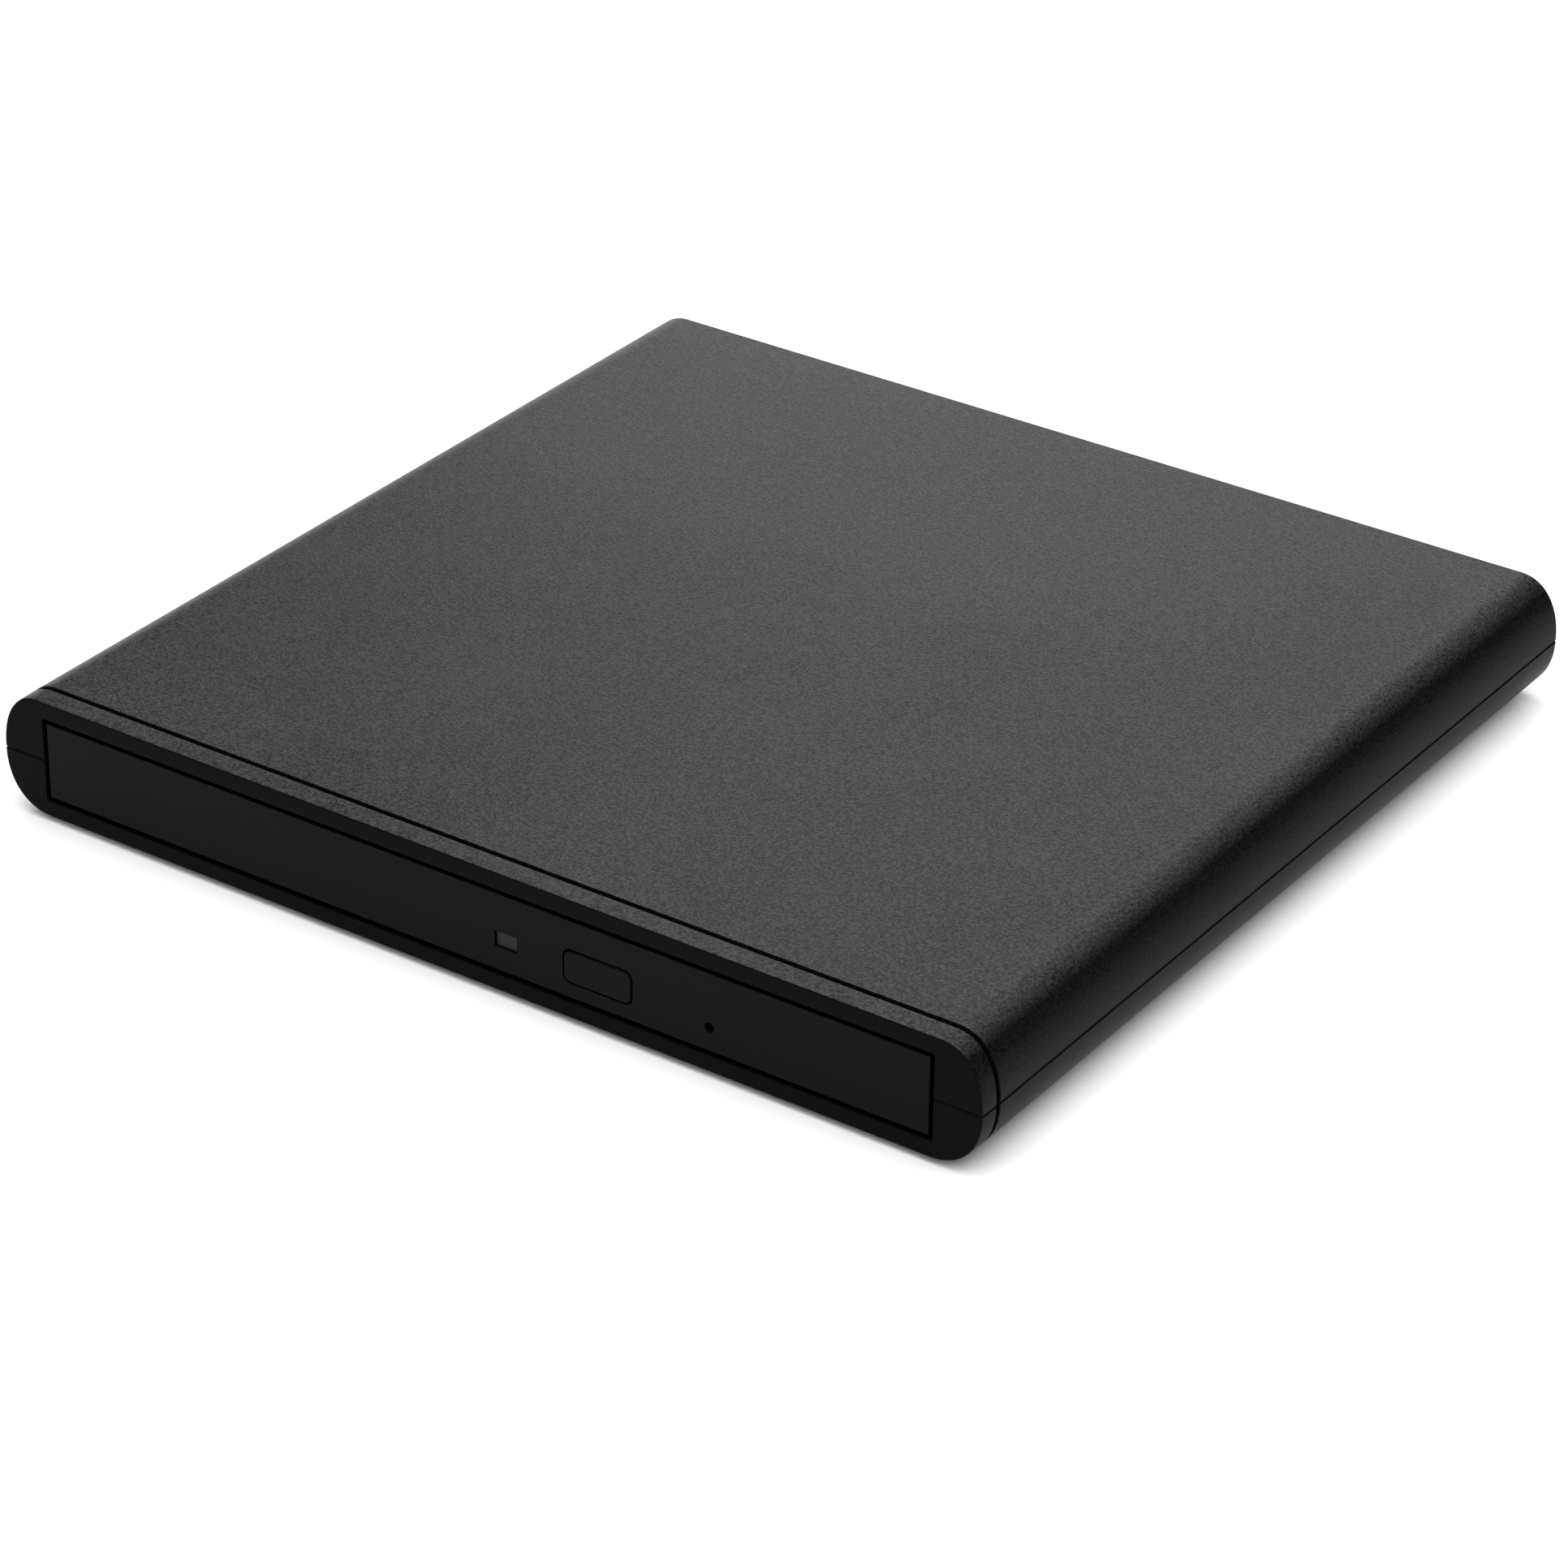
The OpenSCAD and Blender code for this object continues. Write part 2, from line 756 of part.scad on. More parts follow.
module traverse_screws() {
    color("#b9bcc0")
    at_traverse()
        for (p = damper_uv)
            translate([p[0], p[1], 5.22]) {
                cylinder(r = 2.2, h = 0.28);
                cylinder(r = 0.6, h = 2.9);
            }
}

module guide_rods() {
    color("#d0d2d6")
    at_traverse()
        for (r = [[main_rod_v, main_rod_r], [sub_rod_v, sub_rod_r]])
            rod_x(r[0], rod_z, 10.8, frame_u1 - 0.6, r[1]);
}

module stepper_motor() {
    color("#b4b7bb")
    at_traverse()
        difference() {
            rod_x(screw_v, rod_z, 1.6, 11.4, 1.95);
            rod_x(screw_v, rod_z, 8, 12, journal_r + run_gap);
        }
}

// Lead screw that drives the sled, with its thread as a row of ridges
module lead_screw() {
    pitch = 3;
    color("#d8b25a")
    at_traverse()
        union() {
            rod_x(screw_v, rod_z, 8.4, frame_u1 - 0.5, journal_r);
            rod_x(screw_v, rod_z, 12.7, pocket_u1 - 0.3, screw_r - 0.25);
            for (i = [0 : 15])
                translate([13.4 + pitch * i, screw_v, rod_z])
                    rotate([0, 90, 0]) cylinder(r = screw_r, h = 1.6);
        }
}

// ---------- spindle ----------

// Revolves a half section about the spindle's axis
module about_spindle() {
    translate([0, disc_y, 0]) rotate_extrude($fn = 96) children();
}

module spindle_stator() {
    color("#8a5a34")
    about_spindle()
        polygon([
            [1 + run_gap, 5.5], [motor_hole_r, 5.5], [motor_hole_r, 6.3], [8.8, 6.3], [8.8, 8.7],
            [3.2, 8.7], [3.2, 9.1], [1 + run_gap, 9.1]
        ]);
}

module spindle_rotor() {
    color("#b4b7bb")
    about_spindle()
        polygon([
            [0, 5.7], [1, 5.7], [1, 9.3], [9.3, 9.3], [9.3, 6.6], [10.8, 6.6],
            [10.8, 9.9], [2.4, 9.9], [2.4, 10.9], [0, 10.9]
        ]);
}

module turntable() {
    notch = 2.8;
    color("#232326")
    difference() {
        about_spindle()
            polygon([
                [2.4, 9.9], [13.9, 9.9], [13.9, disc_z], [13.6, disc_z], [13.6, 10.6], [10.6, 10.6],
                [10.6, disc_z - 0.1], [hub_r, disc_z - 0.1], [hub_r, 12.2], [6.6, 12.45], [0, 12.45],
                [0, 10.9], [2.4, 10.9]
            ]);
        for (i = [0 : 2])
            translate([0, disc_y, 0])
                rotate([0, 0, 120 * i + 90])
                    block([4.8, -notch / 2, disc_z - 0.1], [9, notch / 2, 13]);
    }
}

module turntable_ring() {
    color("#4a4a4e")
    about_spindle()
        translate([10.6, 10.6]) square([3, disc_z - 10.6]);
}

// Sprung claw number i in the hub, which holds the disc by its hole
module hub_claw(i) {
    color("#e0ddd4")
    translate([0, disc_y, 0])
        rotate([0, 0, 120 * i + 90])
            along_claw();
}

module along_claw() {
    translate([0, 1.2, 0])
        rotate([90, 0, 0])
            linear_extrude(2.4)
                polygon([[5.4, 11.05], [7.2, 11.05], [7.4, 11.5], [7.1, 12.2], [5.4, 12.3]]);
}

module hub_claw_1() { hub_claw(0); }

module hub_claw_2() { hub_claw(1); }

module hub_claw_3() { hub_claw(2); }

// ---------- pickup ----------

module pickup_sled() {
    u0 = lens_park_r - 9;
    u1 = lens_park_r + 4.8;
    color("#6e7175")
    at_traverse()
        difference() {
            union() {
                block([u0, -11, 5.7], [u1, 7.6, 9.6]);
                rod_x(main_rod_v, rod_z, u0 - 1.2, u1, 1.95);
                block([u0, -13.6, 6.6], [u1, -10.9, 8.6]);
                // fork round the sub rod
                block([u0 + 3, 7.5, 8.7], [u0 + 9, 13.6, 9.4]);
                block([u0 + 3, 7.5, 5.8], [u0 + 9, 12.2, 6.5]);
                // tooth that runs in the lead screw
                block([u0 + 5.8, 12.9, 7.3], [u0 + 7, 13.6, 8.8]);
            }
            rod_x(main_rod_v, rod_z, u0 - 3, u1 + 2, main_rod_r + run_gap);
            block([lens_park_r - 4.3, -4.6, 7.2], [lens_park_r + 4.3, 4.6, 11]);
        }
}

module lens_holder() {
    color("#232326")
    at_traverse()
        difference() {
            translate([lens_park_r, 0, 7.9])
                linear_extrude(1.8) {
                    square([7.8, 6.4], center = true);
                    square([6.2, 8], center = true);
                }
            translate([lens_park_r, 0, 9.3]) cylinder(r = 2.2, h = 2);
        }
}

module pickup_lens() {
    color("#9fb7c8", 0.6)
    at_traverse()
        translate([lens_park_r, 0, 9.3])
            rotate_extrude()
                polygon([[0, 0], [2.15, 0], [2.15, 0.4], [1.6, 0.7], [0.9, 0.88], [0, 0.95]]);
}

// ---------- assembly ----------

upper_shell();
lower_shell();
rubber_feet();
case_screws();
bridge_board();
bridge_chip();
clock_crystal();
board_capacitors();
board_screws();
usb_socket_shell();
usb_socket_insert();
sata_receptacle();
drive_base_pan();
drive_top_cover();
cover_screws();
rail_screws();
rail_guide_left();
rail_guide_right();
latch_striker();
main_board();
main_board_chips();
sata_plug();
flex_cable();
rail_left();
rail_right();
tray();
tray_bezel();
led_lens();
front_board();
tact_switch();
tray_underside_cover();
ejector_plunger();
latch_solenoid();
latch_pivot_pin();
latch_lever();
eject_button();
traverse_frame();
traverse_cover();
traverse_dampers();
traverse_screws();
guide_rods();
stepper_motor();
lead_screw();
spindle_stator();
spindle_rotor();
turntable();
turntable_ring();
hub_claw_1();
hub_claw_2();
hub_claw_3();
pickup_sled();
lens_holder();
pickup_lens();
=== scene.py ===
"""Looks for a slim external optical drive: moulded shells, tray bezel, disc mechanism, light and camera."""
import json
import math

import bmesh
import bpy
from mathutils import Matrix, Vector


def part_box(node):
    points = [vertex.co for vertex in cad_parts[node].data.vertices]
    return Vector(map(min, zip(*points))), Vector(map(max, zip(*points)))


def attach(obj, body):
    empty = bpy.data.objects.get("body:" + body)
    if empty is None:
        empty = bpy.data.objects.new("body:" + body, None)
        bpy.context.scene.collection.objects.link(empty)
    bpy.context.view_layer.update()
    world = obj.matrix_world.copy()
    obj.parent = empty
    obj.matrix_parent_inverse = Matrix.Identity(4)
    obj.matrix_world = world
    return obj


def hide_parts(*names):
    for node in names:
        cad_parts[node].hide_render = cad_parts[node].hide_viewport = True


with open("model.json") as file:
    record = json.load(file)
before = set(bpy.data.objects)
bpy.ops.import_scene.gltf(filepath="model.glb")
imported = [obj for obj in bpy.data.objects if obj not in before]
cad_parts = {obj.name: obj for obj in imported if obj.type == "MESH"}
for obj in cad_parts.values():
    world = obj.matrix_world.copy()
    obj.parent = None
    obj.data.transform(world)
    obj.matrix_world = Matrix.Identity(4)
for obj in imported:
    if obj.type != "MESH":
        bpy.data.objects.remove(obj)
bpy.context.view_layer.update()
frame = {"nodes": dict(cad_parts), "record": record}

MM = 0.001
BODY_OF = {node: body for body, nodes in frame["record"]["behaviour"]["bodies"].items() for node in nodes}
SLOT_OF = {part["node"]: part["material_slot"] for part in frame["record"]["subparts"]}

# ---------- measures taken from the frame ----------

TOP_LO, TOP_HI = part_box("upper_shell")
LOW_LO, LOW_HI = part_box("lower_shell")
BEZEL_LO, BEZEL_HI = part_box("tray_bezel")
USB_LO, USB_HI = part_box("usb_socket_shell")
CASE_X = TOP_HI.x
FRONT_Y = TOP_LO.y
BACK_Y = TOP_HI.y
TOP_Z = TOP_HI.z
BOTTOM_Z = LOW_LO.z
PARTING_Z = LOW_HI.z

# ---------- shape of the moulded shells ----------

WALL = 1.6 * MM
FRONT_WALL = 2.2 * MM
UPPER_EDGE = 5.8 * MM       # width of the rounded side edge, upper shell
LOWER_EDGE = 7.0 * MM       # the same, lower shell
EDGE_EXPONENT = 2.24        # 2 is an ellipse, more is squarer
OPENING_GAP = 0.6 * MM      # round the tray bezel
OPENING_CORNER = 0.3 * MM
GROOVE_Y = FRONT_Y + 3.3 * MM
GROOVE_HALF = 0.375 * MM    # half of its width
GROOVE_DEPTH = 0.6 * MM
GROOVE_EDGE = 0.1 * MM      # rounding of its two edges
GROOVE_EDGE_MIDDLE = 0.3    # where that rounding's middle loop lies, as a share of it
BACK_ROUND = 0.5 * MM
PARTING_GAP = 0.08 * MM     # on each side of the parting plane
PARTING_SOFT = 0.12 * MM    # chamfer of the edges at the parting plane
FIRST_RISE = 0.1 * MM       # least height of an outline's first stretch
ARC_LEAD = 0.6              # steps by which the arc starts above the parting plane
ARC_STEPS = 24
FLAT_STEPS = 24
CORNER_STEPS = 4
BODY_STATIONS = 12

# Loops of the front edges, each as (depth behind the front face, offset from the outline).
OPENING_LIP = ((FRONT_WALL, 0.0), (0.14 * MM, 0.0), (0.04 * MM, 0.04 * MM), (0.0, 0.14 * MM))
RING_EDGE = ((0.0, 0.3 * MM), (0.03 * MM, 0.18 * MM), (0.1 * MM, 0.1 * MM), (0.2 * MM, 0.065 * MM),
             (0.32 * MM, 0.05 * MM))

OUTSIDE, FACE, INSIDE = range(3)    # order of a shell's three materials

USB_SIDE_GAP = 0.3 * MM
USB_LOWER_GAP = 0.15 * MM
USB_CHAMFER = 0.15 * MM
FOOT_RADIUS = 5.0 * MM
SEAT_GAP = 0.1 * MM
SEAT_CUT_HEIGHT = 4.0 * MM  # of the cylinder that cuts a foot's seat
SEAT_SEGMENTS = 64

SHARP_DEGREES = 32.0        # edges sharper than this are creased or rounded
COPLANAR_DEGREES = 0.6      # faces flatter than this to each other are one face
WELD = 0.002 * MM           # points closer than this are one point


# ---------- node graph helpers ----------

class Graph:
    """A material's node tree with short calls for the nodes used here."""

    MIX_FIRST, MIX_SECOND, MIX_RESULT = 6, 7, 2     # places of the Mix node's colour sockets

    def __init__(self, name, **values):
        self.material = bpy.data.materials.new(name)
        self.material.use_nodes = True
        self.tree = self.material.node_tree
        self.shader = self.tree.nodes["Principled BSDF"]
        for key, value in values.items():
            self.shader.inputs[key.replace("_", " ")].default_value = value
        coordinates = self.tree.nodes.new("ShaderNodeTexCoord")
        self.place = coordinates.outputs["Object"]
        self.facing = coordinates.outputs["Normal"]

    def link(self, out, node, socket):
        self.tree.links.new(out, node.inputs[socket])

    def flatness(self, steep, flat):
        """0 on walls steeper than steep, 1 where the surface lies flat, from its normal's Z."""
        node = self.tree.nodes.new("ShaderNodeSeparateXYZ")
        self.link(self.facing, node, "Vector")
        return self.span(self.math("ABSOLUTE", node.outputs["Z"], 0.0), steep, flat)

    def stretched(self, scale):
        node = self.tree.nodes.new("ShaderNodeMapping")
        node.inputs["Scale"].default_value = scale
        self.link(self.place, node, "Vector")
        return node.outputs["Vector"]

    def noise(self, scale, detail=3.0, roughness=0.55, place=None):
        node = self.tree.nodes.new("ShaderNodeTexNoise")
        node.inputs["Scale"].default_value = scale
        node.inputs["Detail"].default_value = detail
        node.inputs["Roughness"].default_value = roughness
        self.link(place or self.place, node, "Vector")
        return node.outputs["Fac"]

    def cells(self, scale, feature="F1"):
        node = self.tree.nodes.new("ShaderNodeTexVoronoi")
        node.feature = feature
        node.inputs["Scale"].default_value = scale
        self.link(self.place, node, "Vector")
        return node.outputs["Distance"]

    def span(self, value, low, high, to_low=0.0, to_high=1.0):
        node = self.tree.nodes.new("ShaderNodeMapRange")
        node.inputs["From Min"].default_value = low
        node.inputs["From Max"].default_value = high
        node.inputs["To Min"].default_value = to_low
        node.inputs["To Max"].default_value = to_high
        self.link(value, node, "Value")
        return node.outputs["Result"]

    def spread(self, noise, to_low=0.0, to_high=1.0):
        """The middle part of a noise's values, which holds most of them, over a wider range."""
        return self.span(noise, 0.3, 0.7, to_low, to_high)

    def math(self, operation, first, second):
        node = self.tree.nodes.new("ShaderNodeMath")
        node.operation = operation
        for index, value in enumerate((first, second)):
            if isinstance(value, (int, float)):
                node.inputs[index].default_value = value
            else:
                self.tree.links.new(value, node.inputs[index])
        return node.outputs["Value"]

    def blend(self, factor, first, second):
        node = self.tree.nodes.new("ShaderNodeMix")
        node.data_type = "RGBA"
        self.tree.links.new(factor, node.inputs["Factor"])
        for index, value in ((self.MIX_FIRST, first), (self.MIX_SECOND, second)):
            if isinstance(value, tuple):
                node.inputs[index].default_value = (*value, 1.0)
            else:
                self.tree.links.new(value, node.inputs[index])
        return node.outputs[self.MIX_RESULT]

    def bump(self, height, distance, strength=1.0, below=None):
        node = self.tree.nodes.new("ShaderNodeBump")
        node.inputs["Strength"].default_value = strength
        node.inputs["Distance"].default_value = distance
        self.link(height, node, "Height")
        if below is not None:
            self.link(below, node, "Normal")
        return node.outputs["Normal"]

    def colour(self, out):
        self.link(out, self.shader, "Base Color")

    def roughness(self, out):
        self.link(out, self.shader, "Roughness")

    def normal(self, out):
        self.link(out, self.shader, "Normal")

    def metallic(self, out):
        self.link(out, self.shader, "Metallic")


# ---------- materials ----------

def spark_textured_plastic(name, dark, light, rough, grain, depth, specular, wall_specular):
    """Moulded plastic with a spark-eroded grain, which is shallower on the steep walls of a mould; steep
    walls also get a darker colour and a weaker reflection, painted shade that darkens the sides.
    """
    g = Graph(name)
    flat = g.flatness(steep=0.66, flat=0.985)
    pebbles = g.noise(grain, detail=2.0, roughness=0.65)
    fine = g.noise(grain * 2.3, detail=2.0, roughness=0.5)
    handling = g.noise(28.0, detail=4.0, roughness=0.6)
    specks = g.math("MULTIPLY", g.span(pebbles, 0.37, 0.66), 0.85)
    broad = g.math("MULTIPLY", g.spread(handling), 0.15)
    # painted shade: on steep walls the light specks drop to 16 %, so the sides come out darker than the flats
    shown = g.math("MULTIPLY", g.math("ADD", specks, broad), g.span(flat, 0.0, 1.0, 0.16, 1.0))
    g.colour(g.blend(shown, dark, light))
    g.roughness(g.math("ADD", g.spread(handling, rough - 0.03, rough + 0.03),
                       g.spread(fine, -0.04, 0.04)))
    g.link(g.span(flat, 0.0, 1.0, wall_specular, specular), g.shader, "Specular IOR Level")
    height = g.math("MULTIPLY", pebbles, g.span(flat, 0.0, 1.0, 0.45, 1.0))
    g.normal(g.bump(fine, depth * 0.35, 0.8, g.bump(height, depth, 1.0)))
    return g.material


def satin_plastic(name, colour, rough, specular):
    """Smooth moulded plastic: faint grain, slight flow marks, a little wear in the gloss."""
    g = Graph(name, Specular_IOR_Level=specular)
    grain = g.noise(5200.0, detail=2.0)
    flow = g.noise(42.0, detail=5.0, roughness=0.6, place=g.stretched((1.0, 1.0, 0.35)))
    lighter = tuple(min(1.0, c * 1.22 + 0.0008) for c in colour)
    g.colour(g.blend(g.spread(flow), colour, lighter))
    g.roughness(g.spread(flow, rough - 0.05, rough + 0.05))
    g.normal(g.bump(grain, 0.006 * MM))
    return g.material


def soft_rubber(name, colour):
    """Matt rubber with a dusty, finely pitted surface."""
    g = Graph(name, Specular_IOR_Level=0.25, Roughness=0.85)
    pits = g.cells(3800.0)
    dust = g.noise(160.0, detail=4.0)
    pale = tuple(c * 1.7 + 0.006 for c in colour)
    g.colour(g.blend(g.span(dust, 0.4, 0.75), colour, pale))
    g.normal(g.bump(pits, 0.02 * MM, 0.7))
    return g.material


def rolled_steel(name, colour, rough, direction=(1.0, 0.02, 1.0)):
    """Sheet steel with rolling lines along one axis and a mottled zinc bloom."""
    g = Graph(name, Metallic=1.0)
    lines = g.noise(2600.0, detail=3.0, roughness=0.7, place=g.stretched(direction))
    bloom = g.cells(420.0, "SMOOTH_F1")
    duller = tuple(c * 0.78 for c in colour)
    g.colour(g.blend(g.span(bloom, 0.1, 0.8), colour, duller))
    g.roughness(g.math("ADD", g.spread(lines, rough - 0.06, rough + 0.06),
                       g.span(bloom, 0.1, 0.8, -0.03, 0.05)))
    g.normal(g.bump(lines, 0.002 * MM, 0.5))
    return g.material


def turned_metal(name, colour, rough):
    """Turned or ground metal with fine tool marks and slight tarnish."""
    g = Graph(name, Metallic=1.0)
    marks = g.noise(5200.0, detail=2.0, roughness=0.6)
    tarnish = g.noise(210.0, detail=4.0)
    darker = tuple(c * 0.7 for c in colour)
    g.colour(g.blend(g.span(tarnish, 0.45, 0.8), colour, darker))
    g.roughness(g.span(tarnish, 0.3, 0.8, rough, rough + 0.12))
    g.normal(g.bump(marks, 0.0015 * MM, 0.5))
    return g.material


def painted_sheet(name, colour):
    """Black stoved paint on sheet steel, with orange peel and worn, slightly shinier spots."""
    g = Graph(name, Specular_IOR_Level=0.5)
    peel = g.noise(900.0, detail=2.0)
    wear = g.noise(75.0, detail=5.0, roughness=0.65)
    worn = tuple(c * 1.5 + 0.004 for c in colour)
    g.colour(g.blend(g.span(wear, 0.5, 0.75), colour, worn))
    g.roughness(g.span(wear, 0.35, 0.75, 0.48, 0.34))
    g.normal(g.bump(peel, 0.012 * MM, 0.6))
    return g.material


def circuit_board(name):
    """Lacquered board: tracks under the lacquer, and bright plated pads."""
    g = Graph(name, Specular_IOR_Level=0.5, Coat_Weight=0.4, Coat_Roughness=0.12)
    tracks = g.tree.nodes.new("ShaderNodeTexBrick")
    tracks.inputs["Scale"].default_value = 420.0
    tracks.inputs["Mortar Size"].default_value = 0.06
    tracks.inputs["Color1"].default_value = (0.012, 0.10, 0.035, 1.0)
    tracks.inputs["Color2"].default_value = (0.016, 0.13, 0.045, 1.0)
    tracks.inputs["Mortar"].default_value = (0.05, 0.26, 0.09, 1.0)
    g.link(g.place, tracks, "Vector")
    pads = g.span(g.cells(900.0), 0.16, 0.2, 1.0, 0.0)
    rare = g.span(g.noise(330.0, detail=1.0), 0.56, 0.6)
    shown = g.math("MULTIPLY", pads, rare)
    g.colour(g.blend(shown, tracks.outputs["Color"], (0.62, 0.58, 0.5)))
    g.metallic(shown)
    g.roughness(g.spread(g.noise(120.0), 0.32, 0.46))
    g.normal(g.bump(tracks.outputs["Fac"], 0.012 * MM, 0.6))
    return g.material


def copper_winding(name):
    """Enamelled copper wire wound in close turns."""
    g = Graph(name, Metallic=0.9, Coat_Weight=0.5, Coat_Roughness=0.2)
    waves = g.tree.nodes.new("ShaderNodeTexWave")
    waves.inputs["Scale"].default_value = 1500.0
    waves.inputs["Distortion"].default_value = 1.2
    g.link(g.place, waves, "Vector")
    g.colour(g.blend(g.span(waves.outputs["Fac"], 0.2, 0.9), (0.16, 0.05, 0.018), (0.58, 0.24, 0.1)))
    g.roughness(g.span(waves.outputs["Fac"], 0.0, 1.0, 0.45, 0.28))
    g.normal(g.bump(waves.outputs["Fac"], 0.04 * MM, 0.8))
    return g.material


def polyimide_film(name):
    """Amber flat cable with its conductors showing as darker stripes."""
    g = Graph(name, Specular_IOR_Level=0.5, Coat_Weight=0.5, Coat_Roughness=0.15)
    stripes = g.tree.nodes.new("ShaderNodeTexWave")
    stripes.bands_direction = "X"
    stripes.inputs["Scale"].default_value = 160.0
    g.link(g.place, stripes, "Vector")
    g.colour(g.blend(g.span(stripes.outputs["Fac"], 0.35, 0.65), (0.42, 0.16, 0.02), (0.62, 0.31, 0.06)))
    g.roughness(g.spread(g.noise(90.0), 0.25, 0.4))
    return g.material


def frosted_window(name):
    """Translucent moulded light pipe, milky and slightly uneven."""
    g = Graph(name, Specular_IOR_Level=0.18, Transmission_Weight=0.2, IOR=1.49)
    cloud = g.noise(700.0, detail=3.0)
    g.colour(g.blend(g.spread(cloud), (0.002, 0.002, 0.002), (0.009, 0.0094, 0.009)))
    g.roughness(g.spread(cloud, 0.42, 0.6))
    g.normal(g.bump(cloud, 0.02 * MM, 0.5))
    return g.material


def coated_lens(name):
    """Small moulded lens with a blue-violet coating."""
    g = Graph(name, Transmission_Weight=0.8, IOR=1.52, Coat_Weight=1.0, Coat_Roughness=0.02)
    swirl = g.noise(260.0, detail=2.0)
    g.colour(g.blend(g.spread(swirl), (0.22, 0.3, 0.62), (0.42, 0.3, 0.66)))
    g.roughness(g.spread(swirl, 0.02, 0.06))
    return g.material


def cast_alloy(name):
    """Die-cast sled with a grainy as-cast skin."""
    g = Graph(name, Metallic=1.0)
    skin = g.noise(1700.0, detail=4.0, roughness=0.65)
    stain = g.noise(130.0, detail=3.0)
    g.colour(g.blend(g.span(stain, 0.35, 0.7), (0.34, 0.35, 0.36), (0.25, 0.255, 0.27)))
    g.roughness(g.spread(skin, 0.42, 0.6))
    g.normal(g.bump(skin, 0.03 * MM, 0.7))
    return g.material


def fired_ceramic(name):
    """Ceramic chip parts with a grainy sintered body."""
    g = Graph(name, Specular_IOR_Level=0.4)
    grain = g.noise(4000.0, detail=3.0)
    g.colour(g.blend(g.spread(grain), (0.3, 0.2, 0.11), (0.44, 0.31, 0.18)))
    g.roughness(g.spread(grain, 0.5, 0.7))
    g.normal(g.bump(grain, 0.01 * MM))
    return g.material


def pale_backdrop(name):
    """Matt white studio floor with a trace of unevenness and gloss."""
    g = Graph(name, Specular_IOR_Level=0.35)
    cloud = g.noise(3.0, detail=2.0)
    g.colour(g.blend(g.spread(cloud), (0.90, 0.90, 0.90), (0.92, 0.92, 0.92)))
    g.roughness(g.spread(cloud, 0.3, 0.36))
    return g.material


CASE_GRAIN = {"rough": 0.38, "grain": 2900.0, "depth": 0.035 * MM}
TEXTURED_TOP = spark_textured_plastic(
    "case_textured_top", dark=(0.0005, 0.0005, 0.0005), light=(0.042, 0.042, 0.0425),
    specular=0.19, wall_specular=0.035, **CASE_GRAIN)
# painted shade: the lower shell is the same case plastic with half the upper shell's light colour and a
# weaker reflection, so its sides, which the white floor lights, come out darker
SHADED_TEXTURED_LOW = spark_textured_plastic(
    "case_textured_low_painted_shade", dark=(0.001, 0.001, 0.001), light=(0.020, 0.020, 0.0202),
    specular=0.044, wall_specular=0.03, **CASE_GRAIN)
CASE_FACE = satin_plastic("case_front_face", (0.0013, 0.0013, 0.0014), rough=0.42, specular=0.028)
CASE_INSIDE = satin_plastic("case_inside", (0.010, 0.010, 0.011), rough=0.6, specular=0.3)

MATERIALS = {
    "feet": soft_rubber("foot_rubber", (0.012, 0.012, 0.013)),
    "screws": turned_metal("zinc_screw", (0.55, 0.56, 0.58), rough=0.25),
    "board": circuit_board("circuit_board"),
    "chips": satin_plastic("chip_package", (0.012, 0.012, 0.013), rough=0.5, specular=0.4),
    "can": turned_metal("drawn_can", (0.6, 0.6, 0.62), rough=0.22),
    "capacitor": fired_ceramic("chip_ceramic"),
    "connector": satin_plastic("connector_black", (0.011, 0.011, 0.012), rough=0.45, specular=0.4),
    "usb_steel": rolled_steel("plated_socket", (0.58, 0.585, 0.6), rough=0.26, direction=(0.02, 1.0, 1.0)),
    "case_steel": rolled_steel("galvanised_sheet", (0.46, 0.47, 0.49), rough=0.38),
    "rail_steel": rolled_steel("rail_steel", (0.56, 0.57, 0.585), rough=0.28),
    "guide_plastic": satin_plastic("guide_natural", (0.36, 0.35, 0.32), rough=0.5, specular=0.4),
    "flex": polyimide_film("flat_cable_film"),
    "tray": spark_textured_plastic("tray_black", dark=(0.008, 0.008, 0.009), light=(0.024, 0.024, 0.026),
                                   rough=0.5, grain=2600.0, depth=0.03 * MM, specular=0.4, wall_specular=0.3),
    "bezel": satin_plastic("bezel_black", (0.0016, 0.0016, 0.0017), rough=0.4, specular=0.048),
    "lens_window": frosted_window("indicator_window"),
    "mechanism_plastic": satin_plastic("natural_plastic", (0.31, 0.29, 0.25), rough=0.45, specular=0.4),
    "coil": copper_winding("copper_winding"),
    "traverse": painted_sheet("traverse_paint", (0.016, 0.016, 0.018)),
    "damper_rubber": soft_rubber("ring_rubber", (0.05, 0.045, 0.045)),
    "rod_steel": turned_metal("ground_rod", (0.66, 0.67, 0.69), rough=0.12),
    "brass_screw": turned_metal("brass_thread", (0.62, 0.42, 0.15), rough=0.2),
    "turntable": satin_plastic("turntable_black", (0.013, 0.013, 0.014), rough=0.38, specular=0.4),
    "sled_alloy": cast_alloy("sled_alloy"),
    "optic": coated_lens("pickup_lens_glass"),
}


# ---------- mesh helpers ----------

def finish_mesh(obj, sharp_degrees=SHARP_DEGREES):
    """Smooth shading with sharp creases, weighted so large flats stay flat."""
    mesh = obj.data
    mesh.shade_smooth()
    mesh.set_sharp_from_angle(angle=math.radians(sharp_degrees))
    weighted = obj.modifiers.new("weighted_normals", "WEIGHTED_NORMAL")
    weighted.keep_sharp = True


def new_object(name, bm, materials):
    """A linked object with bm's mesh; bm is freed."""
    mesh = bpy.data.meshes.new(name)
    bm.to_mesh(mesh)
    bm.free()
    for material in materials:
        mesh.materials.append(material)
    obj = bpy.data.objects.new(name, mesh)
    bpy.context.scene.collection.objects.link(obj)
    return obj


def take_over(obj, node):
    """The piece stands for a CAD node: it rides on that node's body, and the node itself is hidden."""
    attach(obj, BODY_OF[node])
    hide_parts(node)


